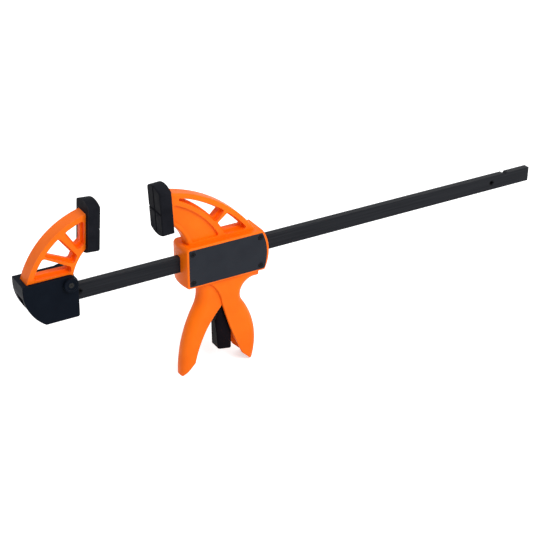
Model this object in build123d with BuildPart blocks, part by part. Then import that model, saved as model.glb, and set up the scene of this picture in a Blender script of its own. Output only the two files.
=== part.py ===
"""Quick release bar clamp: a fixed jaw on a flat steel bar and a trigger driven jaw that slides on it.

Millimetres.  +X runs along the bar away from the fixed jaw, +Z points from the bar to the pads, and
the front of the clamp faces -Y.  The origin is the centre of the stop pin beside the fixed jaw.  Side
outlines are drawn as (u, v): u along +X from the datum of that jaw's pad, v along +Z from the centre
line of the bar.
"""
from build123d import *
import os
from math import cos, hypot, radians, sin, tan

os.makedirs("parts", exist_ok=True)

# driving dimensions: bar and stop pins
bar_length = 545.5
bar_height = 15.0
bar_thickness = 6.0
bar_corner_radius = 2.0
bar_end_radius = 1.5
bar_hole_radius = 3.25
bar_near_inset = 45.5
bar_far_inset = 49.0
bar_notch_run = 17.5
bar_notch_depth = 2.5
stop_pin_length = 9.0
stop_pin_sink = 0.2
stop_pin_wall = 1.1
stop_pin_slot = 1.0

# fits
press_gap = 0.02
running_gap = 0.1
loose_gap = 0.2
free_gap = 0.4
right_through = 200.0

# driving dimensions: pads
opening = 57.9
fixed_face_x = 18.5
pad_width = 25.5
pad_corner_height = 39.8
pad_arch = 3.6
pad_thickness = 11.2
pad_corner_radius = 2.5
pad_edge_radius = 1.5
pad_groove_width = 2.4
pad_groove_depth = 1.2
tongue_width = 11.0
tongue_height = 24.0
tongue_depth = 4.0
fixed_pad_height = 59.2
fixed_pad_front = 0.8
fixed_toe = 4.4
moving_pad_height = 57.6
moving_pad_front = -0.7
moving_toe = 2.7

# driving dimensions: fixed jaw's arm
arm_width = 15.0
arm_foot_left = -66.4
arm_foot_side = 3.1
web_thickness = 3.0
window_ledge = 1.8
window_corner = 2.4
fixed_outer_centre = (9.1, -4.1)
fixed_outer_radius = 79.4
fixed_rim = 4.6
fixed_inner_centre = (18.1, 9.0)
fixed_inner_radius = 44.0
window_beside_pad = ((-33.5, 66.2), (-10.7, 72.0), (-12.4, 46.4), (-18.5, 41.6))
window_between = ((-38.0, 62.4), (-19.5, 37.2), (-23.0, 30.0), (-52.0, 43.8))
window_above_bar = ((-54.0, 43.9), (-25.8, 28.2), (-26.0, 22.4), (-62.0, 23.2))

# driving dimensions: fixed jaw's cover
cover_front = 11.0
cover_rear = 15.0
cover_wall = 2.2
cover_left = -71.2
cover_right = -21.4
cover_draft = 0.9
cover_top = 21.3
cover_bottom = -19.3
cover_heel = -53.0
cover_bow = (-66.2, -4.6)
cover_shoulder = 13.5
cover_corner_radius = 2.0
cover_front_edge = 0.8
cover_rear_edge = 1.0
cover_boss_radius = 8.2
cover_mouth_top = 8.5
cover_mouth_bottom = -12.4
cover_mouth_inner = (-59.6, -53.0)
cover_screw_places = ((-60.0, 15.0), (-31.0, -13.6), (-50.0, -13.6))
pilot_skin = 1.2
screw_tip_gap = 1.4

# driving dimensions: lock button
button_centre = (-29.2, 14.0)
button_radius = 6.6
button_edge_radius = 0.8
button_stand = 3.5
button_depth = 6.0
button_head = 2.6
button_travel = 3.0
button_wall = 1.4
button_dish_rim = 1.9
button_dish_depth = 0.5
button_screw_length = 7.0
catch_shaft_radius = 2.5
catch_shaft_wall = 0.6
catch_thickness = 2.5
catch_disc_radius = 4.2
catch_slot_width = 24.0
catch_slot_bottom = 4.9
catch_slot_top = 19.1
catch_nose_gap = 0.3
catch_nose = 2.6
catch_heel = (-3.4, 5.6)
catch_root = (2.0, -3.6)
catch_crown = (-1.0, 4.0)
lock_wire = 0.8
lock_coil_radius = 4.1
lock_turns = 4

# driving dimensions: sliding jaw's housing and plates
housing_width = 27.8
housing_left = 20.4
housing_bulge = 2.0
housing_top = 19.2
housing_bottom = -21.2
housing_end_centre = (66.0, -2.3)
housing_end_radius = 40.3
housing_brow_radius = 4.0
housing_chin_radius = 2.0
housing_edge_radius = 1.2
cavity_left = 31.6
cavity_right = 92.6
cavity_top = 15.2
cavity_bottom = -17.7
cavity_width = 19.6
plate_left = 24.1
plate_top = 17.2
plate_bottom = -19.5
plate_end_centre = (58.2, -3.4)
plate_end_radius = 45.8
plate_corner_radius = 1.4
plate_thickness = 1.6
plate_recess = 1.5
plate_floor = 0.3
plate_screw_left = 27.9
plate_screw_right = 97.1
plate_screw_top = 12.8
plate_screw_bottom = -15.5
plate_pilot_depth = 5.2
plate_screw_length = 5.0
screw_ring = 0.6
screw_head_radius = 2.2
screw_head_height = 1.2
screw_shank_radius = 1.25
screw_drive_radius = 1.0
screw_drive_depth = 0.8

# driving dimensions: sliding jaw's arm
moving_outer_centre = (-12.0, -55.0)
moving_outer_radius = 130.6
moving_inner_centre = (-12.7, 9.7)
moving_inner_radius = 41.0
moving_edge_radius = 2.6
moving_rim_centre = (-14.4, -56.8)
moving_rim_radius = 128.9
moving_band_centre = (-31.6, -32.8)
moving_band_radius = 110.2
moving_window_left = 19.2
moving_window_tip = 0.9
strut_top = ((50.0, 31.3), (75.0, 55.1))
strut_bottom = ((50.0, 29.5), (75.0, 48.9))
panel_depth = 2.5
panel_outer_centre = (-19.4, -18.5)
panel_outer_radius = 87.7
panel_inner_centre = (-9.7, 12.7)
panel_inner_radius = 40.9
panel_left = 13.8
panel_bottom = 21.6
outline_top = 90.0
outline_right = 110.0

# driving dimensions: fixed handle
grip_width = 22.0
grip_wall = 2.2
grip_edge_radius = 6.0
grip_mouth_radius = 1.0
grip_corner_radius = 2.5
grip_tip_radius = 1.2
grip_side_wall = 4.2
grip_back_wall = 2.4
mouth_left = 33.9
collar_top = -18.0
collar_right = 96.8
collar_bottom = -27.0
collar_heel = (90.0, -29.2)
collar_wall = 3.2
shelf_run = 4.0
shelf_left_rise = 0.8
shelf_right_rise = 1.6
grip_waist_centre = (93.4, -43.1)
grip_waist_radius = 14.3
grip_waist = (80.6, -36.6)
grip_back_centre = (19.4, -92.8)
grip_back = (93.0, -79.4)
grip_tip = (91.3, -113.4)
grip_foot = (87.4, -114.6)
grip_blank_right = 97.0
grip_toe = (79.0, -106.3)
grip_inside = (68.2, -79.6)
grip_throat = (58.0, -45.2)
grip_brow = (53.5, -31.8)
grip_front = (43.0, -20.6)

# driving dimensions: trigger and drive
trigger_wall = 1.8
trigger_edge_radius = 8.0
trigger_brow_centre = (5.5, -33.6)
trigger_brow_radius = 32.3
trigger_belly_centre = (153.4, -115.0)
trigger_blank_left = 12.0
trigger_top = -20.0
trigger_tip = (16.9, -114.6)
trigger_toe = (17.4, -116.0)
trigger_sole = (18.9, -114.8)
trigger_heel = (30.4, -103.5)
trigger_heel_radius = 1.5
trigger_palm = (39.1, -78.0)
trigger_crook = (58.8, -49.4)
trigger_neck_right = 63.6
trigger_neck_bottom = -38.0
trigger_cheek_foot = -22.0
trigger_pivot = (50.1, 10.9)
trigger_pin_radius = 2.5
trigger_eye_radius = 4.0
push_centre = (60.9, -14.0)
push_radius = 2.0
push_length = 5.8
drive_plate_thickness = 3.0
drive_plate_spacing = 0.5
drive_plate_width = 13.0
drive_plate_top = 10.3
drive_plate_bottom = -16.8
drive_wire = 1.2
drive_coil_radius = 9.0
drive_turns = 4

# driving dimensions: release lever and brake
lever_width = 13.4
lever_nose_radius = 4.0
lever_front_corner = 1.5
lever_back_corner = 1.5
lever_neck = (58.1, -48.0)
lever_brow = (55.6, -55.0)
lever_front_top = (53.8, -68.0)
lever_front_foot = (55.2, -97.0)
lever_back_foot = (68.8, -99.4)
lever_back_top = (69.6, -46.0)
lever_elbow = (70.6, -41.5)
lever_shoulder = (74.6, -34.0)
lever_eye_drop = 2.0
release_pivot = (80.6, -15.2)
release_pin_radius = 2.0
release_eye_radius = 4.2
nudge_centre = (85.0, -23.0)
nudge_radius = 1.5
rib_left = 83.1
rib_thickness = 2.0
rib_bottom = -10.5
rib_step = 12.0
brake_hinge = (90.1, 13.5)
brake_cant = 3.0
brake_thickness = 3.0
brake_width = 13.0
brake_above = 1.1
brake_below = 38.5
brake_wire = 0.7
brake_coil_radius = 2.6
brake_turns = 5
brake_spring_height = -12.0
brake_pocket_depth = 5.0

# derived places
bar_left = -bar_near_inset
bar_right = bar_left + bar_length
stop_pin_x = bar_right - bar_far_inset
notch_xs = (-bar_notch_run, stop_pin_x + bar_notch_run)
stop_pin_front = bar_thickness / 2 - stop_pin_sink
moving_face_x = fixed_face_x + opening
arm_foot_rise = cover_top - fixed_inner_centre[1]
arm_foot_right = fixed_inner_centre[0] - (fixed_inner_radius**2 - arm_foot_rise**2) ** 0.5
arm_foot_floor = arm_width / 2 - arm_foot_side
cover_cavity = arm_width / 2 + running_gap
button_top = cover_front + button_stand
button_under = button_top - button_head
dish_floor = button_top - button_dish_depth
catch_far = free_gap + catch_thickness
catch_slot_depth = catch_thickness + button_travel + free_gap
notch_u = notch_xs[0] - fixed_face_x
catch_nose_v = bar_height / 2 - bar_notch_depth + catch_nose_gap
housing_face = housing_width / 2
plate_seat = housing_face - plate_recess
grip_inner = grip_width / 2 - grip_wall
lever_channel = lever_width / 2 + loose_gap
trigger_half = grip_inner - running_gap
trigger_inner = trigger_half - trigger_wall
drive_plate_left = push_centre[0] + push_radius + loose_gap
drive_stack = 2 * drive_plate_thickness + drive_plate_spacing
brake_seat_left = brake_hinge[0] - brake_thickness / 2 - loose_gap
waist_run = hypot(grip_back_centre[0] - grip_waist_centre[0], grip_back_centre[1] - grip_waist_centre[1])
grip_back_start = tuple(
    waist + (back - waist) * grip_waist_radius / waist_run
    for waist, back in zip(grip_waist_centre, grip_back_centre)
)
hole_width = bar_thickness + 2 * running_gap
hole_height = bar_height + 2 * running_gap


def side_plane(x, y=0.0):
    """Side view plane: local x is +X from x, local y is +Z, and its normal faces the front."""
    return Plane(origin=(x, y, 0), x_dir=(1, 0, 0), z_dir=(0, -1, 0))


def cross_plane(x):
    """Plane across the bar at x: local x is +Y, local y is +Z."""
    return Plane(origin=(x, 0, 0), x_dir=(0, 1, 0), z_dir=(1, 0, 0))


fixed_side = side_plane(fixed_face_x)
moving_side = side_plane(moving_face_x)

fixed_pad_plane = Plane(
    origin=(fixed_face_x + fixed_pad_front, 0, fixed_pad_height),
    x_dir=(0, 1, 0),
    z_dir=(cos(radians(fixed_toe)), 0, -sin(radians(fixed_toe))),
)
moving_pad_plane = Plane(
    origin=(moving_face_x + moving_pad_front, 0, moving_pad_height),
    x_dir=(0, -1, 0),
    z_dir=(-cos(radians(moving_toe)), 0, -sin(radians(moving_toe))),
)


def fixed_pad_back(v):
    """u of the fixed pad's back face at height v."""
    middle = fixed_pad_front - pad_thickness / cos(radians(fixed_toe))
    return middle + (v - fixed_pad_height) * tan(radians(fixed_toe))


def moving_pad_back(v):
    """u of the sliding pad's back face at height v."""
    middle = moving_pad_front + pad_thickness / cos(radians(moving_toe))
    return middle - (v - moving_pad_height) * tan(radians(moving_toe))


def front_and_back(profile, inner, outer, mode=Mode.ADD):
    """Extrude a side profile between two distances from the middle plane, on both sides of it."""
    for side in (1, -1):
        start = profile.moved(Location((0, -side * inner, 0)))
        extrude(start, amount=side * (outer - inner), mode=mode)


def rounded_rims(disc_centre, spool_centre, spool_radius, half_width, edge_radius, inset=0.0):
    """Space left of a disc and beyond a spool that touch: their round rims shape a piece's long edge."""
    edge = edge_radius - inset
    side = half_width - inset
    disc_radius = hypot(spool_centre[0] - disc_centre[0], spool_centre[1] - disc_centre[1]) - spool_radius
    left_centre, right_centre = sorted((disc_centre, spool_centre))
    with BuildPart() as disc:
        with BuildSketch(moving_side):
            with Locations(disc_centre):
                Circle(disc_radius - inset)
        extrude(amount=side, both=True)
        fillet(disc.edges().filter_by(GeomType.CIRCLE), edge)
    axis_point = (moving_face_x + spool_centre[0], 0, spool_centre[1])
    with BuildPart() as spool:
        with BuildSketch(Plane(origin=axis_point, x_dir=(1, 0, 0), z_dir=(0, 0, 1))):
            Rectangle(spool_radius + edge_radius, 2 * side, align=(Align.MIN, Align.CENTER))
            with Locations((spool_radius + inset, 0)):
                Rectangle(2 * edge, 2 * (side - edge), align=(Align.MIN, Align.CENTER), mode=Mode.SUBTRACT)
            for facing in (1, -1):
                with Locations((spool_radius + edge_radius, facing * (side - edge))):
                    Circle(edge, mode=Mode.SUBTRACT)
        revolve(axis=Axis(axis_point, (0, 1, 0)))
    halves = []
    for end in (-right_through, right_through):
        with BuildPart() as half:
            with BuildSketch(moving_side):
                Polygon(
                    left_centre,
                    right_centre,
                    (right_through, right_centre[1]),
                    (right_through, end),
                    (left_centre[0], end),
                    align=None,
                )
            extrude(amount=side, both=True)
            if end < 0:
                add(disc.part, mode=Mode.INTERSECT)
            else:
                add(spool.part, mode=Mode.SUBTRACT)
        halves.append(half.part)
    with BuildPart() as rims:
        add(halves)
    return rims


def save(name, piece):
    """Label a finished sub-part and write its STEP file."""
    piece.part.label = name
    export_step(piece.part, "parts/" + name + ".step")


# bar and stop pins
with BuildPart() as bar:
    with BuildSketch(side_plane(0)) as bar_side:
        with Locations(((bar_left + bar_right) / 2, 0)):
            Rectangle(bar_length, bar_height)
        fillet(bar_side.vertices(), bar_corner_radius)
        with Locations((0, 0), (stop_pin_x, 0)):
            Circle(bar_hole_radius, mode=Mode.SUBTRACT)
        for notch_x in notch_xs:
            Polygon(
                (notch_x, bar_height / 2 - bar_notch_depth),
                (notch_x + 2 * bar_notch_depth, bar_height / 2 + bar_notch_depth),
                (notch_x - 2 * bar_notch_depth, bar_height / 2 + bar_notch_depth),
                align=None,
                mode=Mode.SUBTRACT,
            )
    extrude(amount=bar_thickness / 2, both=True)
    with BuildSketch(Plane.XY):
        with Locations(((bar_left + bar_right) / 2, 0)):
            RectangleRounded(bar_length, bar_thickness, bar_end_radius)
    extrude(amount=bar_height, both=True, mode=Mode.INTERSECT)
save("bar", bar)

with BuildPart() as stop_pins:
    for pin_x in (0, stop_pin_x):
        with BuildSketch(side_plane(pin_x, -stop_pin_front)):
            Circle(bar_hole_radius - press_gap)
            Circle(bar_hole_radius - stop_pin_wall, mode=Mode.SUBTRACT)
            with Locations((bar_hole_radius, 0)):
                Rectangle(2 * bar_hole_radius, stop_pin_slot, mode=Mode.SUBTRACT)
        extrude(amount=-stop_pin_length)
save("stop_pins", stop_pins)


# pads
def make_pad(face_plane):
    """Rubber pad: an arched block with crossed grooves in its face and a pocket for the arm's tongue."""
    half_width = pad_width / 2
    half_height = pad_corner_height / 2
    with BuildPart() as pad:
        with BuildSketch(face_plane) as outline:
            with BuildLine():
                arch_top = ThreePointArc(
                    (-half_width, half_height), (0, half_height + pad_arch), (half_width, half_height)
                )
                arch_foot = ThreePointArc(
                    (-half_width, -half_height), (0, -half_height - pad_arch), (half_width, -half_height)
                )
                Line(arch_top @ 0, arch_foot @ 0)
                Line(arch_top @ 1, arch_foot @ 1)
            make_face()
            fillet(outline.vertices(), pad_corner_radius)
        extrude(amount=-pad_thickness)
        fillet(pad.edges().group_by(Axis(face_plane.origin, face_plane.z_dir))[-1], pad_edge_radius)
        with BuildSketch(face_plane.offset(-pad_thickness)):
            Rectangle(tongue_width + 2 * running_gap, tongue_height + 2 * running_gap)
        extrude(amount=tongue_depth + running_gap, mode=Mode.SUBTRACT)
        groove_length = 2 * pad_corner_height
        for along, run in ((face_plane.x_dir, face_plane.y_dir), (face_plane.y_dir, face_plane.x_dir)):
            start = face_plane.origin - run * (groove_length / 2)
            groove_plane = Plane(origin=start, x_dir=along, z_dir=run)
            depth_sign = 1 if groove_plane.y_dir.dot(face_plane.z_dir) > 0 else -1
            with BuildSketch(groove_plane):
                Polygon(
                    (0, -depth_sign * pad_groove_depth),
                    (pad_groove_width, depth_sign * pad_groove_depth),
                    (-pad_groove_width, depth_sign * pad_groove_depth),
                    align=None,
                )
            extrude(amount=groove_length, mode=Mode.SUBTRACT)
    return pad


fixed_jaw_pad = make_pad(fixed_pad_plane)
save("fixed_jaw_pad", fixed_jaw_pad)
movable_jaw_pad = make_pad(moving_pad_plane)
save("movable_jaw_pad", movable_jaw_pad)


# fixed jaw
def cover_outline(inset=0.0):
    """Side outline of the fixed jaw's cover, drawn smaller by inset."""
    with BuildSketch(fixed_side) as outline:
        with BuildLine():
            Polyline(
                (cover_heel, cover_bottom),
                (cover_right - cover_draft, cover_bottom),
                (cover_right, cover_top),
                (cover_left, cover_top),
                (cover_left, cover_shoulder),
            )
            ThreePointArc((cover_left, cover_shoulder), cover_bow, (cover_heel, cover_bottom))
        make_face()
        button_corner = outline.vertices().sort_by(Axis.X)[-1]
        fillet(button_corner, cover_right - button_centre[0])
        lower_corner = outline.vertices().sort_by(Axis.X)[-2:].sort_by(Axis.Y)[0]
        fillet(lower_corner, cover_corner_radius)
        if inset:
            offset(amount=-inset, kind=Kind.INTERSECTION, mode=Mode.REPLACE)
    return outline.sketch


def fixed_windows(inset=0.0):
    """The three openings between the fixed arm's rim, spokes and band, drawn smaller by inset."""
    with BuildSketch(fixed_side) as windows:
        for corners in (window_beside_pad, window_between, window_above_bar):
            Polygon(*corners, align=None)
        with Locations(fixed_outer_centre):
            Circle(fixed_outer_radius - fixed_rim, mode=Mode.INTERSECT)
        fillet(windows.vertices(), window_corner)
        if inset:
            offset(amount=-inset, mode=Mode.REPLACE)
    return windows.sketch


with BuildPart() as fixed_jaw_arm:
    with BuildSketch(fixed_side):
        with Locations(fixed_outer_centre):
            Circle(fixed_outer_radius)
        Polygon(
            (arm_foot_left, button_centre[1]),
            (arm_foot_left, outline_top),
            (fixed_pad_back(outline_top), outline_top),
            (fixed_pad_back(button_centre[1]), button_centre[1]),
            align=None,
            mode=Mode.INTERSECT,
        )
        with Locations(fixed_inner_centre):
            Circle(fixed_inner_radius, mode=Mode.SUBTRACT)
    extrude(amount=arm_width / 2, both=True)
    extrude(cover_outline(cover_wall + loose_gap), amount=arm_width / 2, both=True)
    extrude(fixed_windows(), amount=arm_width, both=True, mode=Mode.SUBTRACT)
    extrude(fixed_windows() - fixed_windows(window_ledge), amount=web_thickness / 2, both=True)
    with BuildSketch(fixed_pad_plane.offset(-pad_thickness)):
        Rectangle(tongue_width, tongue_height)
    extrude(amount=tongue_depth)
    with BuildSketch(cross_plane(bar_left)):
        Rectangle(hole_width, hole_height)
    extrude(amount=right_through, both=True, mode=Mode.SUBTRACT)
    with BuildSketch(side_plane(fixed_face_x, -arm_foot_floor)):
        with Locations(button_centre):
            Circle(button_radius + loose_gap)
    extrude(amount=arm_width, mode=Mode.SUBTRACT)
    with BuildSketch(side_plane(fixed_face_x, free_gap)):
        with Locations(button_centre):
            Circle(catch_shaft_radius + running_gap)
    extrude(amount=arm_width, mode=Mode.SUBTRACT)
    with BuildSketch(side_plane(fixed_face_x, loose_gap)):
        with Locations((button_centre[0], (catch_slot_bottom + catch_slot_top) / 2)):
            Rectangle(catch_slot_width, catch_slot_top - catch_slot_bottom)
    extrude(amount=-(catch_slot_depth + loose_gap), mode=Mode.SUBTRACT)
    with BuildSketch(fixed_side):
        with Locations(*cover_screw_places):
            Circle(screw_shank_radius + loose_gap)
    extrude(amount=arm_width, both=True, mode=Mode.SUBTRACT)
save("fixed_jaw_arm", fixed_jaw_arm)


def make_cover(front):
    """One half shell of the fixed jaw's cover; the front one carries the button's hole."""
    facing = 1 if front else -1
    depth = cover_front if front else cover_rear
    with BuildPart() as cover:
        extrude(cover_outline(), amount=facing * depth)
        if not front:
            with BuildSketch(fixed_side):
                with Locations(button_centre):
                    Circle(cover_boss_radius)
            extrude(amount=facing * depth)
        outer = cover.faces().sort_by(Axis.Y)[0 if front else -1]
        fillet(outer.edges(), cover_front_edge if front else cover_rear_edge)
        extrude(cover_outline(cover_wall), amount=facing * cover_cavity, mode=Mode.SUBTRACT)
        with BuildSketch(fixed_side):
            Polygon(
                (arm_foot_left - loose_gap, button_centre[1]),
                (arm_foot_left - loose_gap, outline_top),
                (arm_foot_right + loose_gap, outline_top),
                (arm_foot_right + loose_gap, button_centre[1]),
                align=None,
            )
            Polygon(
                (cover_left - cover_wall, cover_mouth_top),
                (cover_mouth_inner[0], cover_mouth_top),
                (cover_mouth_inner[1], cover_mouth_bottom),
                (cover_left - cover_wall, cover_mouth_bottom),
                align=None,
            )
        extrude(amount=facing * cover_cavity, mode=Mode.SUBTRACT)
        with BuildSketch(cross_plane(fixed_face_x + cover_right - 2 * cover_wall)):
            Rectangle(hole_width, hole_height)
        extrude(amount=right_through, mode=Mode.SUBTRACT)
        if front:
            with BuildSketch(fixed_side):
                with Locations(button_centre):
                    Circle(button_radius + running_gap)
            extrude(amount=right_through, mode=Mode.SUBTRACT)
            with BuildSketch(fixed_side):
                with Locations(*cover_screw_places):
                    Circle(screw_shank_radius)
            extrude(amount=depth - pilot_skin, mode=Mode.SUBTRACT)
        else:
            with BuildSketch(fixed_side):
                with Locations(*cover_screw_places):
                    Circle(screw_shank_radius + running_gap)
            extrude(amount=-right_through, mode=Mode.SUBTRACT)
            with BuildSketch(side_plane(fixed_face_x, depth - screw_head_height - loose_gap)):
                with Locations(*cover_screw_places):
                    Circle(screw_head_radius + running_gap)
            extrude(amount=-right_through, mode=Mode.SUBTRACT)
            # the near stop pin stands in a notch in this cover's end
            with BuildSketch(side_plane(0)):
                Circle(bar_hole_radius + running_gap)
            extrude(amount=-(stop_pin_length - stop_pin_front + running_gap), mode=Mode.SUBTRACT)
    return cover


fixed_cover_front = make_cover(True)
save("fixed_cover_front", fixed_cover_front)
fixed_cover_rear = make_cover(False)
save("fixed_cover_rear", fixed_cover_rear)


def make_screws(plane_x, places, head_y, outward, shank_length):
    """Recessed screws with a hexagon socket, heads at head_y and shanks pointing inwards."""
    seat = side_plane(plane_x, head_y)
    with BuildPart() as screws:
        for place in places:
            with BuildSketch(seat):
                with Locations(place):
                    Circle(screw_head_radius)
            extrude(amount=-outward * screw_head_height)
            with BuildSketch(seat):
                with Locations(place):
                    Circle(screw_shank_radius - press_gap)
            extrude(amount=-outward * (screw_head_height + shank_length))
            with BuildSketch(seat):
                with Locations(place):
                    RegularPolygon(screw_drive_radius, 6)
            extrude(amount=-outward * screw_drive_depth, mode=Mode.SUBTRACT)
    return screws


cover_screw_head_y = cover_rear - loose_gap
cover_screw_length = cover_screw_head_y - screw_head_height + cover_front - pilot_skin - screw_tip_gap
fixed_cover_screws = make_screws(
    fixed_face_x, cover_screw_places, cover_screw_head_y, -1, cover_screw_length
)
save("fixed_cover_screws", fixed_cover_screws)

# lock button
with BuildPart() as lock_button:
    with BuildSketch(side_plane(fixed_face_x, -button_top)):
        with Locations(button_centre):
            Circle(button_radius)
    extrude(amount=-button_depth)
    fillet(lock_button.edges().sort_by(Axis.Y)[0], button_edge_radius)
    with BuildSketch(side_plane(fixed_face_x, -button_under)):
        with Locations(button_centre):
            Circle(button_radius - button_wall)
            Circle(catch_shaft_radius + catch_shaft_wall, mode=Mode.SUBTRACT)
    extrude(amount=-button_depth, mode=Mode.SUBTRACT)
    with BuildSketch(side_plane(fixed_face_x, -button_under)):
        with Locations(button_centre):
            Circle(catch_shaft_radius + press_gap)
    extrude(amount=-button_depth, mode=Mode.SUBTRACT)
    with BuildSketch(side_plane(fixed_face_x, -dish_floor)):
        with Locations(button_centre):
            Circle(button_radius - button_dish_rim)
    extrude(amount=button_depth, mode=Mode.SUBTRACT)
    with BuildSketch(side_plane(fixed_face_x, -dish_floor + screw_head_height)):
        with Locations(button_centre):
            Circle(screw_head_radius + loose_gap)
    extrude(amount=button_depth, mode=Mode.SUBTRACT)
    with BuildSketch(side_plane(fixed_face_x, -button_top)):
        with Locations(button_centre):
            Circle(screw_shank_radius + running_gap)
    extrude(amount=-button_depth, mode=Mode.SUBTRACT)
save("lock_button", lock_button)

with BuildPart() as lock_catch:
    with BuildSketch(side_plane(fixed_face_x, -button_under)):
        with Locations(button_centre):
            Circle(catch_shaft_radius)
    extrude(amount=-(button_under + catch_far))
    with BuildSketch(side_plane(fixed_face_x, catch_far)):
        with Locations(button_centre):
            Circle(catch_disc_radius)
        Polygon(
            (notch_u, catch_nose_v),
            (notch_u + catch_nose, catch_nose_v + catch_nose),
            (button_centre[0] + catch_root[0], button_centre[1] + catch_root[1]),
            (button_centre[0] + catch_crown[0], button_centre[1] + catch_crown[1]),
            (notch_u + catch_heel[0], catch_nose_v + catch_heel[1]),
            (notch_u - catch_nose, catch_nose_v + catch_nose),
            align=None,
        )
    extrude(amount=catch_thickness)
    with BuildSketch(side_plane(fixed_face_x, -button_under)):
        with Locations(button_centre):
            Circle(screw_shank_radius)
    extrude(amount=-button_screw_length, mode=Mode.SUBTRACT)
save("lock_catch", lock_catch)

button_screw = make_screws(fixed_face_x, (button_centre,), -dish_floor, 1, button_screw_length)
save("button_screw", button_screw)


def make_coil(start, direction, radius, wire, length, turns):
    """A compression spring of round wire along direction, from start."""
    axis = Vector(*direction)
    first = Vector(*start) + axis * (wire / 2)
    run = length - wire
    with BuildPart() as coil:
        with BuildLine() as path:
            Helix(pitch=run / turns, height=run, radius=radius, center=first, direction=axis)
        with BuildSketch(Plane(origin=path.line @ 0, z_dir=path.line % 0)):
            Circle(wire / 2)
        sweep(is_frenet=True)
    return coil


lock_spring = make_coil(
    (fixed_face_x + button_centre[0], -button_under + running_gap, button_centre[1]),
    (0, 1, 0),
    lock_coil_radius,
    lock_wire,
    button_under - arm_foot_floor - 2 * running_gap,
    lock_turns,
)
save("lock_spring", lock_spring)


# sliding jaw
def moving_windows(inset=0.0):
    """The two openings above the sliding arm's panel, drawn smaller by inset."""
    with BuildSketch(moving_side) as windows:
        Polygon(
            (moving_window_left, outline_top),
            (strut_top[1][0], outline_top),
            strut_top[1],
            strut_top[0],
            (moving_window_left, strut_top[0][1]),
            align=None,
        )
        Polygon(
            strut_bottom[0],
            strut_bottom[1],
            (outline_right, strut_bottom[1][1]),
            (outline_right, panel_bottom),
            (strut_bottom[0][0], panel_bottom),
            align=None,
        )
        with Locations(moving_rim_centre):
            Circle(moving_rim_radius, mode=Mode.INTERSECT)
        with Locations(moving_band_centre):
            Circle(moving_band_radius, mode=Mode.SUBTRACT)
        narrow_end = windows.vertices().sort_by(Axis.X)[:2]
        fillet(narrow_end, moving_window_tip)
        other_corners = windows.vertices().sort_by(Axis.X)[4:]
        fillet(other_corners, window_corner)
        if inset:
            offset(amount=-inset, mode=Mode.REPLACE)
    return windows.sketch


def moving_panel():
    """The shallow fan shaped panel between the sliding arm's band and its concave edge."""
    with BuildSketch(moving_side) as panel:
        with Locations(panel_outer_centre):
            Circle(panel_outer_radius)
        Polygon(
            (panel_left, outline_top),
            (outline_right, outline_top),
            (outline_right, panel_bottom),
            (panel_left, panel_bottom),
            align=None,
            mode=Mode.INTERSECT,
        )
        with Locations(panel_inner_centre):
            Circle(panel_inner_radius, mode=Mode.SUBTRACT)
        fillet(panel.vertices(), window_corner)
    return panel.sketch


def plate_outline(inset=0.0):
    """Side outline of a cover plate, drawn smaller by inset."""
    with BuildSketch(moving_side) as plate:
        with Locations(plate_end_centre):
            Circle(plate_end_radius)
        Polygon(
            (plate_left, plate_bottom),
            (outline_right, plate_bottom),
            (outline_right, plate_top),
            (plate_left, plate_top),
            align=None,
            mode=Mode.INTERSECT,
        )
        Polygon(
            (plate_left, plate_bottom),
            (plate_end_centre[0], plate_bottom),
            (plate_end_centre[0], plate_top),
            (plate_left, plate_top),
            align=None,
        )
        fillet(plate.vertices(), plate_corner_radius)
        if inset:
            offset(amount=-inset, mode=Mode.REPLACE)
    return plate.sketch


def grip_outline():
    """Side outline of the handle and the collar above it; its back reaches past the rounded back."""
    with BuildSketch(moving_side) as grip:
        with BuildLine():
            Polyline(
                grip_front,
                (grip_front[0], collar_top),
                (collar_right, collar_top),
                (collar_right, collar_bottom),
                collar_heel,
                grip_waist_centre,
                (grip_blank_right, grip_back_start[1]),
                (grip_blank_right, grip_tip[1]),
                grip_foot,
                grip_toe,
            )
            ThreePointArc(grip_toe, grip_inside, grip_throat)
            ThreePointArc(grip_throat, grip_brow, grip_front)
        make_face()
        for corner, radius in (
            ((collar_right, collar_bottom), grip_corner_radius),
            (grip_toe, grip_corner_radius),
            (grip_throat, grip_corner_radius),
            (grip_foot, grip_tip_radius),
        ):
            fillet(grip.vertices().sort_by_distance(corner)[0], radius)
    return grip.sketch


def handle_hollow(back_wall):
    """Side outline of the space inside the handle and its collar, open towards the trigger."""
    inner_waist = (grip_waist[0] - back_wall, grip_waist[1])
    inner_start = (grip_back_start[0] - back_wall, grip_back_start[1])
    inner_back = (grip_back[0] - back_wall, grip_back[1])
    inner_tip = (grip_tip[0] - back_wall, grip_tip[1])
    inner_collar = collar_right - collar_wall
    hollow_top = cavity_bottom + 1
    below_tip = grip_foot[1] - grip_width
    shelf_left = (inner_collar - shelf_run, collar_bottom + shelf_left_rise)
    with BuildSketch(moving_side) as hollow:
        with BuildLine():
            Polyline(
                shelf_left,
                (inner_collar, collar_bottom + shelf_right_rise),
                (inner_collar, hollow_top),
                (mouth_left, hollow_top),
                (mouth_left, below_tip),
                (inner_tip[0], below_tip),
                inner_tip,
            )
            ThreePointArc(inner_tip, inner_back, inner_start)
            ThreePointArc(inner_start, inner_waist, shelf_left)
        make_face()
    return hollow.sketch


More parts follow.
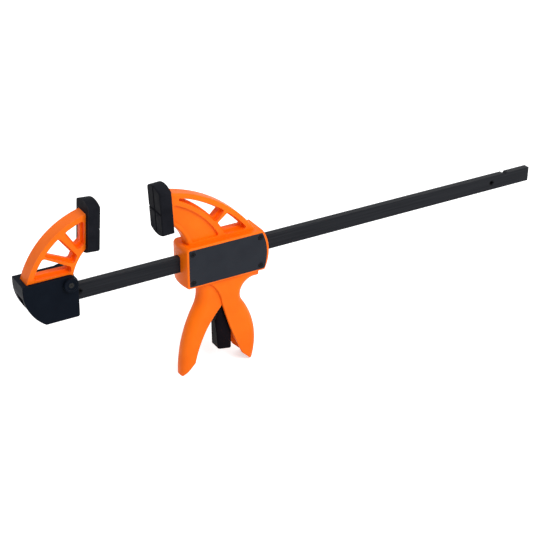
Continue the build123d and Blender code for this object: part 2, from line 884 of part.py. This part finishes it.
with BuildPart() as housing_shell:
    with BuildSketch(moving_side):
        Polygon(
            (housing_left, housing_bottom),
            (housing_end_centre[0], housing_bottom),
            (housing_end_centre[0], housing_top),
            (housing_left, housing_top),
            align=None,
        )
        with Locations(housing_end_centre):
            Circle(housing_end_radius)
        Polygon(
            (housing_left, housing_bottom),
            (outline_right, housing_bottom),
            (outline_right, housing_top),
            (housing_left, housing_top),
            align=None,
            mode=Mode.INTERSECT,
        )
    extrude(amount=housing_face, both=True)
    bulge_radius = (housing_face**2 + housing_bulge**2) / (2 * housing_bulge)
    with BuildSketch(Plane.XY):
        with Locations((moving_face_x + housing_left + bulge_radius, 0)):
            Circle(bulge_radius)
            Rectangle(right_through, housing_width + 1, align=(Align.MIN, Align.CENTER))
    extrude(amount=right_through, both=True, mode=Mode.INTERSECT)
    left_edges = housing_shell.edges().filter_by(GeomType.CIRCLE).sort_by(Axis.X)[:2].sort_by(Axis.Z)
    fillet(left_edges[-1], housing_brow_radius)
    left_edges = housing_shell.edges().filter_by(GeomType.CIRCLE).sort_by(Axis.Z)
    fillet(left_edges[0], housing_chin_radius)
    fillet(housing_shell.faces().sort_by(Axis.Y)[0].edges(), housing_edge_radius)
    fillet(housing_shell.faces().sort_by(Axis.Y)[-1].edges(), housing_edge_radius)

with BuildPart() as grip_blank:
    extrude(grip_outline(), amount=grip_width / 2, both=True)
    for face in (grip_blank.faces().sort_by(Axis.Y)[0], grip_blank.faces().sort_by(Axis.Y)[-1]):
        rim = face.edges().filter_by_position(Axis.Z, grip_foot[1] - 1, collar_top - running_gap)
        fillet(rim, grip_mouth_radius)
    back_rims = rounded_rims(
        grip_back_centre, grip_waist_centre, grip_waist_radius, grip_width / 2, grip_edge_radius
    )
    add(back_rims.part, mode=Mode.INTERSECT)

with BuildPart() as arm_blank:
    with BuildSketch(moving_side):
        with Locations(moving_outer_centre):
            Circle(moving_outer_radius)
        Polygon(
            (moving_pad_back(cavity_top), cavity_top),
            (moving_pad_back(outline_top), outline_top),
            (outline_right, outline_top),
            (outline_right, cavity_top),
            align=None,
            mode=Mode.INTERSECT,
        )
        with Locations(moving_inner_centre):
            Circle(moving_inner_radius, mode=Mode.SUBTRACT)
    extrude(amount=arm_width / 2, both=True)
    round_edges = arm_blank.edges().filter_by(GeomType.CIRCLE)
    fillet(round_edges, moving_edge_radius)

with BuildPart() as jaw_body:
    add(housing_shell.part)
    add(arm_blank.part)
    with BuildSketch(moving_pad_plane.offset(-pad_thickness)):
        Rectangle(tongue_width, tongue_height)
    extrude(amount=tongue_depth)
    extrude(moving_windows(), amount=arm_width, both=True, mode=Mode.SUBTRACT)
    extrude(moving_windows() - moving_windows(window_ledge), amount=web_thickness / 2, both=True)
    front_and_back(moving_panel(), arm_width / 2 - panel_depth, arm_width, mode=Mode.SUBTRACT)
    add(grip_blank.part)
    # the works: cavity, mouth towards the trigger, hollow handle, bar slot, brake spring pocket
    with BuildSketch(moving_side):
        Polygon(
            (cavity_left, cavity_bottom),
            (cavity_right, cavity_bottom),
            (cavity_right, cavity_top),
            (cavity_left, cavity_top),
            align=None,
        )
    extrude(amount=cavity_width / 2, both=True, mode=Mode.SUBTRACT)
    extrude(handle_hollow(grip_side_wall), amount=grip_inner, both=True, mode=Mode.SUBTRACT)
    extrude(handle_hollow(grip_back_wall), amount=lever_channel, both=True, mode=Mode.SUBTRACT)
    with BuildSketch(moving_side):
        Polygon(
            (rib_left, rib_bottom),
            (rib_left + rib_thickness, rib_bottom),
            (rib_left + rib_thickness, rib_step),
            (brake_seat_left, rib_step),
            (brake_seat_left, cavity_top),
            (rib_left, cavity_top),
            align=None,
        )
    extrude(amount=cavity_width / 2, both=True)
    with BuildSketch(cross_plane(moving_face_x)):
        Rectangle(hole_width, hole_height)
    extrude(amount=right_through, mode=Mode.SUBTRACT)
    with BuildSketch(cross_plane(moving_face_x + cavity_right - 1)):
        with Locations((0, brake_spring_height)):
            Circle(brake_coil_radius + brake_wire / 2 + loose_gap)
    extrude(amount=brake_pocket_depth + 1, mode=Mode.SUBTRACT)
    # seats for the cover plates, their screws and the two pivot pins
    front_and_back(plate_outline(), plate_seat, housing_width, mode=Mode.SUBTRACT)
    plate_screw_places = [
        (u, v) for u in (plate_screw_left, plate_screw_right) for v in (plate_screw_bottom, plate_screw_top)
    ]
    with BuildSketch(moving_side) as screw_holes:
        with Locations(*plate_screw_places):
            Circle(screw_shank_radius)
    front_and_back(screw_holes.sketch, plate_seat - plate_pilot_depth, housing_width, mode=Mode.SUBTRACT)
    with BuildSketch(moving_side):
        with Locations(trigger_pivot):
            Circle(trigger_pin_radius + press_gap)
        with Locations(release_pivot):
            Circle(release_pin_radius + press_gap)
    extrude(amount=housing_width, both=True, mode=Mode.SUBTRACT)
save("jaw_body", jaw_body)


def make_plate(front):
    """Flat cover plate that closes one side of the housing, with a seat round each screw's head."""
    facing = 1 if front else -1
    seat = side_plane(moving_face_x, -facing * plate_seat)
    outline = plate_outline(running_gap).moved(Location((0, -facing * plate_seat, 0)))
    with BuildPart() as plate:
        extrude(outline, amount=facing * plate_thickness)
        with BuildSketch(seat):
            with Locations(*plate_screw_places):
                Circle(screw_shank_radius + running_gap)
        extrude(amount=facing * plate_thickness, mode=Mode.SUBTRACT)
        with BuildSketch(side_plane(moving_face_x, -facing * (plate_seat + plate_floor))):
            with Locations(*plate_screw_places):
                Circle(screw_head_radius + screw_ring)
        extrude(amount=facing * plate_thickness, mode=Mode.SUBTRACT)
    return plate


front_cover_plate = make_plate(True)
save("front_cover_plate", front_cover_plate)
rear_cover_plate = make_plate(False)
save("rear_cover_plate", rear_cover_plate)

screw_top = plate_seat + plate_floor + screw_head_height
front_cover_screws = make_screws(moving_face_x, plate_screw_places, -screw_top, 1, plate_screw_length)
save("front_cover_screws", front_cover_screws)
rear_cover_screws = make_screws(moving_face_x, plate_screw_places, screw_top, -1, plate_screw_length)
save("rear_cover_screws", rear_cover_screws)


def make_pin(place, radius):
    """A straight pin across the housing, between the two cover plates."""
    with BuildPart() as pin:
        with BuildSketch(moving_side):
            with Locations(place):
                Circle(radius)
        extrude(amount=plate_seat - running_gap, both=True)
    return pin


trigger_pivot_pin = make_pin(trigger_pivot, trigger_pin_radius)
save("trigger_pivot_pin", trigger_pivot_pin)
release_pivot_pin = make_pin(release_pivot, release_pin_radius)
save("release_pivot_pin", release_pivot_pin)

# trigger: its front is a half round, on a disc below the chest and on a spool above it
def trigger_rims(inset=0.0):
    """Space behind the trigger's rounded front, smaller by inset."""
    return rounded_rims(
        trigger_belly_centre,
        trigger_brow_centre,
        trigger_brow_radius,
        trigger_half,
        trigger_edge_radius,
        inset,
    ).part


sole_slope = (trigger_heel[1] - trigger_sole[1]) / (trigger_heel[0] - trigger_sole[0])
sole_inside = trigger_sole[1] + trigger_wall * (1 + sole_slope**2) ** 0.5

with BuildPart() as trigger_hollow:
    with BuildSketch(moving_side):
        Polygon(
            (trigger_blank_left, sole_inside + (trigger_blank_left - trigger_sole[0]) * sole_slope),
            (trigger_neck_right, sole_inside + (trigger_neck_right - trigger_sole[0]) * sole_slope),
            (outline_right, outline_top),
            (trigger_blank_left, outline_top),
            align=None,
        )
    extrude(amount=trigger_inner, both=True)
    add(trigger_rims(trigger_wall), mode=Mode.INTERSECT)

with BuildPart() as trigger:
    with BuildSketch(moving_side) as trigger_side:
        with BuildLine():
            ThreePointArc(trigger_tip, trigger_toe, trigger_sole)
            Line(trigger_sole, trigger_heel)
            ThreePointArc(trigger_heel, trigger_palm, trigger_crook)
            Polyline(
                trigger_crook,
                (trigger_neck_right, trigger_neck_bottom),
                (trigger_neck_right, trigger_top),
                (trigger_blank_left, trigger_top),
                (trigger_blank_left, trigger_tip[1]),
                trigger_tip,
            )
        make_face()
        fillet(trigger_side.vertices().sort_by_distance(trigger_heel)[0], trigger_heel_radius)
    extrude(amount=trigger_half, both=True)
    add(trigger_rims(), mode=Mode.INTERSECT)
    # cheeks up to the eyes on the pivot pin
    with BuildSketch(moving_side):
        Polygon(
            (trigger_brow_centre[0] + trigger_brow_radius, trigger_cheek_foot),
            (trigger_neck_right, trigger_cheek_foot),
            (push_centre[0] + push_radius / 2, push_centre[1] + push_radius),
            (trigger_pivot[0] + trigger_eye_radius, trigger_pivot[1]),
            (trigger_pivot[0] - trigger_eye_radius, trigger_pivot[1]),
            align=None,
        )
        with Locations(trigger_pivot):
            Circle(trigger_eye_radius)
    extrude(amount=trigger_half, both=True)
    add(trigger_hollow.part, mode=Mode.SUBTRACT)
    with BuildSketch(moving_side):
        with Locations(push_centre):
            Circle(push_radius)
            Rectangle(push_length, 2 * push_radius, align=(Align.MAX, Align.CENTER))
    extrude(amount=trigger_half, both=True)
    with BuildSketch(moving_side):
        with Locations(trigger_pivot):
            Circle(trigger_pin_radius + running_gap)
    extrude(amount=trigger_half, both=True, mode=Mode.SUBTRACT)
save("trigger", trigger)

with BuildPart() as drive_plates:
    for step in (0, 1):
        plate_x = moving_face_x + drive_plate_left + step * (drive_plate_thickness + drive_plate_spacing)
        with BuildSketch(cross_plane(plate_x)):
            with Locations((0, (drive_plate_top + drive_plate_bottom) / 2)):
                Rectangle(drive_plate_width, drive_plate_top - drive_plate_bottom)
            Rectangle(hole_width, hole_height, mode=Mode.SUBTRACT)
        extrude(amount=drive_plate_thickness)
save("drive_plates", drive_plates)

spring_start = moving_face_x + drive_plate_left + drive_stack + running_gap
drive_spring = make_coil(
    (spring_start, 0, 0),
    (1, 0, 0),
    drive_coil_radius,
    drive_wire,
    moving_face_x + rib_left - running_gap - spring_start,
    drive_turns,
)
save("drive_spring", drive_spring)

# release lever and brake
with BuildPart() as release_lever:
    with BuildSketch(moving_side) as lever_side:
        Polygon(
            lever_neck,
            lever_brow,
            lever_front_top,
            lever_front_foot,
            lever_back_foot,
            lever_back_top,
            lever_elbow,
            lever_shoulder,
            (nudge_centre[0] - nudge_radius, nudge_centre[1] - nudge_radius),
            nudge_centre,
            (release_pivot[0] + release_eye_radius, release_pivot[1] - lever_eye_drop),
            release_pivot,
            (release_pivot[0] - release_eye_radius, release_pivot[1] - lever_eye_drop),
            align=None,
        )
        front_foot = lever_side.vertices().sort_by_distance(lever_front_foot)[0]
        fillet(front_foot, lever_front_corner)
        back_foot = lever_side.vertices().sort_by_distance(lever_back_foot)[0]
        fillet(back_foot, lever_back_corner)
        with Locations(release_pivot):
            Circle(release_eye_radius)
        with Locations(nudge_centre):
            Circle(nudge_radius)
        with Locations(release_pivot):
            Circle(release_pin_radius + running_gap, mode=Mode.SUBTRACT)
    extrude(amount=lever_width / 2, both=True)
    with BuildSketch(Plane.XY) as lever_plan:
        with Locations((moving_face_x + lever_front_top[0], 0)):
            Rectangle(right_through, lever_width, align=(Align.MIN, Align.CENTER))
        fillet(lever_plan.vertices().group_by(Axis.X)[0], lever_nose_radius)
    extrude(amount=right_through, both=True, mode=Mode.INTERSECT)
save("release_lever", release_lever)

brake_plane = Plane(
    origin=(moving_face_x + brake_hinge[0], 0, brake_hinge[1]),
    x_dir=(0, 1, 0),
    z_dir=(cos(radians(brake_cant)), 0, -sin(radians(brake_cant))),
)
with BuildPart() as brake_plate:
    with BuildSketch(brake_plane):
        with Locations((0, (brake_above - brake_below) / 2)):
            Rectangle(brake_width, brake_above + brake_below)
        with Locations((0, -brake_hinge[1])):
            Rectangle(hole_width + loose_gap, hole_height + 2 * loose_gap, mode=Mode.SUBTRACT)
    extrude(amount=brake_thickness / 2, both=True)
save("brake_plate", brake_plate)

brake_spring_drop = brake_hinge[1] - brake_spring_height - brake_coil_radius - brake_wire
brake_spring_start = (
    moving_face_x
    + brake_hinge[0]
    - brake_spring_drop * tan(radians(brake_cant))
    + brake_thickness / 2 / cos(radians(brake_cant))
    + running_gap
)
brake_spring = make_coil(
    (brake_spring_start, 0, brake_spring_height),
    (1, 0, 0),
    brake_coil_radius,
    brake_wire,
    moving_face_x + cavity_right + brake_pocket_depth - running_gap - brake_spring_start,
    brake_turns,
)
save("brake_spring", brake_spring)
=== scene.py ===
import math

import bpy
from mathutils import Matrix, Vector


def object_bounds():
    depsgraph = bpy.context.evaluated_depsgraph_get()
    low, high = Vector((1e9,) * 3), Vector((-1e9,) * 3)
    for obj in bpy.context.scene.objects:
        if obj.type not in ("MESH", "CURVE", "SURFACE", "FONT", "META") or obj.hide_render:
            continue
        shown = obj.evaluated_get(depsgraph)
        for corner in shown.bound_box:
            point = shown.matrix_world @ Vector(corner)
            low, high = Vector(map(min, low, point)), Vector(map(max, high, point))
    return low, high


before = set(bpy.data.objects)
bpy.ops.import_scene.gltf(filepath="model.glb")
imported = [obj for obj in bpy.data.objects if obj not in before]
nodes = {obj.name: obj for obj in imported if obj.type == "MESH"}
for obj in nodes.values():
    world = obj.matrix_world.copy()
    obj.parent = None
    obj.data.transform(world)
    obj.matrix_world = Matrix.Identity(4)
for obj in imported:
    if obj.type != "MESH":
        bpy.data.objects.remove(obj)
cadLow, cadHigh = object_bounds()
print("clamp: frame loaded,", len(nodes), "nodes")


def newMaterial(name):
    # an empty principled material, with its tree, shader and object coordinates
    material = bpy.data.materials.new(name)
    material.use_nodes = True
    tree = material.node_tree
    shader = tree.nodes["Principled BSDF"]
    place = tree.nodes.new("ShaderNodeTexCoord").outputs["Object"]
    return material, tree, shader, place


def grain(tree, place, scale, detail=3.0, stretch=(1.0, 1.0, 1.0)):
    # noise in metres: scale is how many grains fit in a metre
    mapping = tree.nodes.new("ShaderNodeMapping")
    mapping.inputs["Scale"].default_value = stretch
    tree.links.new(place, mapping.inputs["Vector"])
    noise = tree.nodes.new("ShaderNodeTexNoise")
    noise.inputs["Scale"].default_value = scale
    noise.inputs["Detail"].default_value = detail
    tree.links.new(mapping.outputs["Vector"], noise.inputs["Vector"])
    return noise.outputs["Fac"]


def spread(tree, value, low, high, outLow=0.0, outHigh=1.0):
    # stretches the part of value between low and high to outLow..outHigh
    ranged = tree.nodes.new("ShaderNodeMapRange")
    ranged.inputs["From Min"].default_value = low
    ranged.inputs["From Max"].default_value = high
    ranged.inputs["To Min"].default_value = outLow
    ranged.inputs["To Max"].default_value = outHigh
    tree.links.new(value, ranged.inputs["Value"])
    return ranged.outputs["Result"]


def combine(tree, operation, first, second):
    # a maths node on a socket and a socket or number
    maths = tree.nodes.new("ShaderNodeMath")
    maths.operation = operation
    tree.links.new(first, maths.inputs[0])
    if isinstance(second, float):
        maths.inputs[1].default_value = second
    else:
        tree.links.new(second, maths.inputs[1])
    return maths.outputs["Value"]


def blendColours(tree, share, first, second):
    # first and second are colours or colour sockets
    mix = tree.nodes.new("ShaderNodeMix")
    mix.data_type = "RGBA"
    tree.links.new(share, mix.inputs["Factor"])
    for socket, colour in ((mix.inputs[6], first), (mix.inputs[7], second)):
        if isinstance(colour, tuple):
            socket.default_value = (*colour, 1.0)
        else:
            tree.links.new(colour, socket)
    return mix.outputs[2]


# an edge starts and is full where the rounded and the true normal have these dot products
edgeWearAndHighlight = {"samples": 6, "starts": 0.99, "full": 0.80}


def edgeMask(tree, radius):
    # 1 on sharp edges, 0 on open faces: where a rounded normal departs from the true one
    bevel = tree.nodes.new("ShaderNodeBevel")
    bevel.samples = edgeWearAndHighlight["samples"]
    bevel.inputs["Radius"].default_value = radius
    geometry = tree.nodes.new("ShaderNodeNewGeometry")
    dot = tree.nodes.new("ShaderNodeVectorMath")
    dot.operation = "DOT_PRODUCT"
    tree.links.new(bevel.outputs["Normal"], dot.inputs[0])
    tree.links.new(geometry.outputs["Normal"], dot.inputs[1])
    return spread(tree, dot.outputs["Value"], edgeWearAndHighlight["starts"], edgeWearAndHighlight["full"])


def bumpFrom(tree, height, distance):
    # a normal from a height socket; distance is the relief in metres
    bump = tree.nodes.new("ShaderNodeBump")
    bump.inputs["Distance"].default_value = distance
    tree.links.new(height, bump.inputs["Height"])
    return bump.outputs["Normal"]


# colours are linear; clouds and grains are counts per metre, depths and radii are in metres
# each look's edge colour is partly wear and partly a painted highlight along the rims
looks = {
    "orangePlastic": {
        "colour": (1.0, 0.168, 0.001),
        "cloud": (0.94, 0.146, 0.001),
        "edge": (1.0, 0.26, 0.02),
        "clouds": 45.0,
        "grains": 2600.0,
        "grainDepth": 0.00002,
        "roughness": (0.36, 0.48),
        "specular": 0.14,
        "edgeRadius": 0.0007,
        "edgeShare": 0.35,
    },
    "coverPlastic": {
        "colour": (0.0040, 0.0060, 0.0105),
        "cloud": (0.0052, 0.0078, 0.0130),
        "edge": (0.034, 0.037, 0.046),
        "clouds": 60.0,
        "grains": 2200.0,
        "grainDepth": 0.00003,
        "roughness": (0.36, 0.48),
        "specular": 0.02,
        "edgeRadius": 0.0005,
        "edgeShare": 0.6,
    },
    "leverPlastic": {
        "colour": (0.0050, 0.0035, 0.0052),
        "cloud": (0.0068, 0.0048, 0.0070),
        "edge": (0.030, 0.027, 0.034),
        "clouds": 60.0,
        "grains": 2200.0,
        "grainDepth": 0.00003,
        "roughness": (0.34, 0.46),
        "specular": 0.02,
        "edgeRadius": 0.0005,
        "edgeShare": 0.4,
    },
    "plateSlate": {
        "colour": (0.0190, 0.0215, 0.0280),
        "cloud": (0.0225, 0.0255, 0.0325),
        "edge": (0.080, 0.084, 0.096),
        "clouds": 60.0,
        "grains": 3000.0,
        "grainDepth": 0.000035,
        "roughness": (0.42, 0.55),
        "specular": 0.05,
        "edgeRadius": 0.0005,
        "edgeShare": 0.5,
    },
    "padRubber": {
        "colour": (0.0065, 0.0070, 0.0098),
        "cloud": (0.0115, 0.0120, 0.0158),
        "edge": (0.042, 0.043, 0.050),
        "clouds": 90.0,
        "grains": 1800.0,
        "grainDepth": 0.00006,
        "roughness": (0.55, 0.75),
        "specular": 0.03,
        "edgeRadius": 0.0006,
        "edgeShare": 0.5,
    },
}


# shared by every moulded material: the noises' detail, and the noise values that count as clouds
mouldedNoise = {"cloudDetail": 5.0, "cloudRange": (0.35, 0.65), "grainDetail": 2.0}


def plasticOrRubber(name):
    # moulded material: clouds in the colour and the polish, paler edges that are partly wear and
    # partly a painted highlight, fine grain
    look = looks[name]
    material, tree, shader, place = newMaterial(name)
    cloudy = grain(tree, place, look["clouds"], mouldedNoise["cloudDetail"])
    clouds = spread(tree, cloudy, *mouldedNoise["cloudRange"])
    body = blendColours(tree, clouds, look["colour"], look["cloud"])
    # paler edges: partly wear, partly a painted highlight
    edgeTint = combine(tree, "MULTIPLY", edgeMask(tree, look["edgeRadius"]), look["edgeShare"])
    tree.links.new(blendColours(tree, edgeTint, body, look["edge"]), shader.inputs["Base Color"])
    tree.links.new(spread(tree, clouds, 0.0, 1.0, *look["roughness"]), shader.inputs["Roughness"])
    fine = grain(tree, place, look["grains"], mouldedNoise["grainDetail"])
    tree.links.new(bumpFrom(tree, fine, look["grainDepth"]), shader.inputs["Normal"])
    shader.inputs["Specular IOR Level"].default_value = look["specular"]
    return material


barLook = {
    "colour": (0.0096, 0.0106, 0.0136),
    "streak": (0.0168, 0.0181, 0.0218),
    "bare": (0.13, 0.125, 0.12),
    "streaks": 900.0,
    "streakDetail": 4.0,
    "streakRange": (0.35, 0.70),
    "streakStretch": (0.02, 1.0, 1.0),
    "streakDepth": 0.00002,
    "scuffs": 160.0,
    "scuffDetail": 6.0,
    "scuffRange": (0.45, 0.70),
    "scuffShare": 0.35,
    "roughness": (0.30, 0.50),
    "specular": 0.06,
    "edgeRadius": 0.0005,
}


def barSteel():
    # blackened steel, drawn along its length and scuffed bare along its edges
    look = barLook
    material, tree, shader, place = newMaterial("barSteel")
    drawn = grain(tree, place, look["streaks"], look["streakDetail"], look["streakStretch"])
    streaks = spread(tree, drawn, *look["streakRange"])
    body = blendColours(tree, streaks, look["colour"], look["streak"])
    rubbed = grain(tree, place, look["scuffs"], look["scuffDetail"])
    scuffs = spread(tree, rubbed, *look["scuffRange"])
    edgeTint = combine(tree, "MULTIPLY", edgeMask(tree, look["edgeRadius"]), scuffs)
    edgeTint = combine(tree, "MULTIPLY", edgeTint, look["scuffShare"])
    tree.links.new(blendColours(tree, edgeTint, body, look["bare"]), shader.inputs["Base Color"])
    tree.links.new(spread(tree, streaks, 0.0, 1.0, *look["roughness"]), shader.inputs["Roughness"])
    tree.links.new(bumpFrom(tree, streaks, look["streakDepth"]), shader.inputs["Normal"])
    shader.inputs["Specular IOR Level"].default_value = look["specular"]
    return material


metalLooks = {
    "turnedSteel": {
        "colour": (0.36, 0.34, 0.31),
        "dark": (0.24, 0.22, 0.20),
        "edge": (0.58, 0.55, 0.50),
        "roughness": (0.25, 0.42),
        "metallic": 0.9,
        "specular": 0.5,
    },
    "springWire": {
        "colour": (0.50, 0.50, 0.50),
        "dark": (0.36, 0.36, 0.36),
        "edge": (0.80, 0.80, 0.80),
        "roughness": (0.22, 0.35),
        "metallic": 0.9,
        "specular": 0.5,
    },
    # the screws' edge colours, here and in screwGrey, paint a highlight ring round each head
    "screwBlack": {
        "colour": (0.0080, 0.0082, 0.0105),
        "dark": (0.0045, 0.0047, 0.0060),
        "edge": (0.070, 0.070, 0.078),
        "roughness": (0.30, 0.45),
        "metallic": 0.0,
        "specular": 0.06,
    },
    "screwGrey": {
        "colour": (0.0200, 0.0196, 0.0186),
        "dark": (0.0110, 0.0108, 0.0104),
        "edge": (0.070, 0.068, 0.065),
        "roughness": (0.30, 0.45),
        "metallic": 0.0,
        "specular": 0.15,
    },
}


# shared by the pins, springs and screws: marks per metre, depth and radius in metres
toolMarks = {
    "marks": 700.0,
    "detail": 5.0,
    "range": (0.35, 0.68),
    "depth": 0.00002,
    "edgeRadius": 0.0003,
    "edgeShare": 0.5,
}


def plainMetal(name):
    # bare or blackened metal of the small pieces, with faint marks and brighter edges; on the screws
    # the brighter edges are a painted highlight ring
    look = metalLooks[name]
    material, tree, shader, place = newMaterial(name)
    marked = grain(tree, place, toolMarks["marks"], toolMarks["detail"])
    marks = spread(tree, marked, *toolMarks["range"])
    body = blendColours(tree, marks, look["colour"], look["dark"])
    # brighter edges; on the screws this is a painted highlight ring
    edgeTint = combine(tree, "MULTIPLY", edgeMask(tree, toolMarks["edgeRadius"]), toolMarks["edgeShare"])
    tree.links.new(blendColours(tree, edgeTint, body, look["edge"]), shader.inputs["Base Color"])
    tree.links.new(spread(tree, marks, 0.0, 1.0, *look["roughness"]), shader.inputs["Roughness"])
    tree.links.new(bumpFrom(tree, marks, toolMarks["depth"]), shader.inputs["Normal"])
    shader.inputs["Metallic"].default_value = look["metallic"]
    shader.inputs["Specular IOR Level"].default_value = look["specular"]
    return material


finishes = {
    "orange": plasticOrRubber("orangePlastic"),
    "cover": plasticOrRubber("coverPlastic"),
    "lever": plasticOrRubber("leverPlastic"),
    "plate": plasticOrRubber("plateSlate"),
    "pad": plasticOrRubber("padRubber"),
    "bar": barSteel(),
    "steel": plainMetal("turnedSteel"),
    "spring": plainMetal("springWire"),
    "screw": plainMetal("screwBlack"),
    "greyScrew": plainMetal("screwGrey"),
}
nodeFinish = {
    "bar": "bar",
    "stop_pins": "screw",
    "fixed_jaw_arm": "orange",
    "fixed_cover_front": "cover",
    "fixed_cover_rear": "cover",
    "fixed_cover_screws": "screw",
    "fixed_jaw_pad": "pad",
    "lock_spring": "spring",
    "lock_button": "cover",
    "lock_catch": "steel",
    "button_screw": "greyScrew",
    "jaw_body": "orange",
    "movable_jaw_pad": "pad",
    "front_cover_plate": "plate",
    "rear_cover_plate": "plate",
    "front_cover_screws": "screw",
    "rear_cover_screws": "screw",
    "trigger_pivot_pin": "steel",
    "release_pivot_pin": "steel",
    "drive_spring": "spring",
    "brake_spring": "spring",
    "trigger": "orange",
    "drive_plates": "steel",
    "release_lever": "lever",
    "brake_plate": "steel",
}
for nodeName, finish in nodeFinish.items():
    for slot in nodes[nodeName].material_slots:
        slot.material = finishes[finish]
print("clamp: finishes on", len(nodeFinish), "nodes")


def raysThatSeeWhite(tree):
    # 1 for camera, glossy and transmitted rays
    path = tree.nodes.new("ShaderNodeLightPath")
    total = path.outputs["Is Camera Ray"]
    for kind in ("Is Glossy Ray", "Is Transmission Ray"):
        total = combine(tree, "MAXIMUM", total, path.outputs[kind])
    return total


# halfSize is in metres; the glow is added for the rays that see white
floorLook = {
    "colour": (0.90, 0.90, 0.90),
    "roughness": 0.9,
    "specular": 0.1,
    "glow": 0.55,
    "halfSize": 3.0,
}


def makeFloor():
    # a pale square under the lowest point of the clamp
    size = floorLook["halfSize"]
    mesh = bpy.data.meshes.new("paleFloor")
    corners = [(-size, -size, 0), (size, -size, 0), (size, size, 0), (-size, size, 0)]
    mesh.from_pydata(corners, [], [(0, 1, 2, 3)])
    floor = bpy.data.objects.new("paleFloor", mesh)
    floor.location.z = cadLow.z
    bpy.context.scene.collection.objects.link(floor)
    material, tree, shader = newMaterial("paleFloor")[:3]
    shader.inputs["Base Color"].default_value = (*floorLook["colour"], 1.0)
    shader.inputs["Roughness"].default_value = floorLook["roughness"]
    shader.inputs["Specular IOR Level"].default_value = floorLook["specular"]
    shader.inputs["Emission Color"].default_value = (1.0, 1.0, 1.0, 1.0)
    glow = combine(tree, "MULTIPLY", raysThatSeeWhite(tree), floorLook["glow"])
    tree.links.new(glow, shader.inputs["Emission Strength"])
    mesh.materials.append(material)


# powers are watts; places are metres from the middle of the clamp
# the world lights the clamp at worldStrength and shows as backdropStrength
lightLook = {
    "worldStrength": 0.42,
    "backdropStrength": 1.0,
    "key": {"place": (0.25, -1.25, 1.30), "size": 1.0, "power": 26.0},
    "fill": {"place": (-0.6, 0.6, 1.40), "size": 1.0, "power": 5.0},
}


def makeWorld():
    world = bpy.data.worlds.new("studio")
    bpy.context.scene.world = world
    world.use_nodes = True
    tree = world.node_tree
    background = tree.nodes["Background"]
    background.inputs["Color"].default_value = (1.0, 1.0, 1.0, 1.0)
    lit, shown = lightLook["worldStrength"], lightLook["backdropStrength"]
    strength = spread(tree, raysThatSeeWhite(tree), 0.0, 1.0, lit, shown)
    tree.links.new(strength, background.inputs["Strength"])


def softLamp(name, look):
    # a square lamp aimed at the middle of the clamp
    middle = (cadLow + cadHigh) / 2
    away = Vector(look["place"])
    lamp = bpy.data.lights.new(name, "AREA")
    lamp.shape = "SQUARE"
    lamp.size = look["size"]
    lamp.energy = look["power"]
    holder = bpy.data.objects.new(name, lamp)
    holder.location = middle + away
    holder.rotation_mode = "QUATERNION"
    holder.rotation_quaternion = (-away).to_track_quat("-Z", "Y")
    bpy.context.scene.collection.objects.link(holder)


# metres and degrees; azimuth turns to the clamp's left from its front, lens and sensor are millimetres
cameraPlace = {
    "target": Vector((0.19168, 0.0, -0.03196)),
    "distance": 1.1982,
    "azimuth": 30.5005,
    "elevation": 28.2075,
    "roll": 0.1897,
    "lens": 85.0,
    "sensor": 36.0,
    "clip": (0.05, 20.0),
}


def makeCamera():
    view = cameraPlace
    turn, rise, roll = (math.radians(view[angle]) for angle in ("azimuth", "elevation", "roll"))
    back = Vector((-math.sin(turn) * math.cos(rise), -math.cos(turn) * math.cos(rise), math.sin(rise)))
    right = Vector((math.cos(turn), -math.sin(turn), 0.0))
    up = back.cross(right)
    level = Matrix((right, up, back)).transposed()
    data = bpy.data.cameras.new("camera")
    data.lens = view["lens"]
    data.sensor_width = view["sensor"]
    data.clip_start, data.clip_end = view["clip"]
    camera = bpy.data.objects.new("camera", data)
    camera.rotation_mode = "QUATERNION"
    camera.rotation_quaternion = (level @ Matrix.Rotation(roll, 3, "Z")).to_quaternion()
    camera.location = view["target"] + back * view["distance"]
    bpy.context.scene.collection.objects.link(camera)
    bpy.context.scene.camera = camera


bpy.context.scene.view_settings.view_transform = "Standard"
makeFloor()
makeWorld()
softLamp("keySoftbox", lightLook["key"])
softLamp("fillSoftbox", lightLook["fill"])
makeCamera()
print("clamp: stage, lamps and camera set")

print("clamp: done")
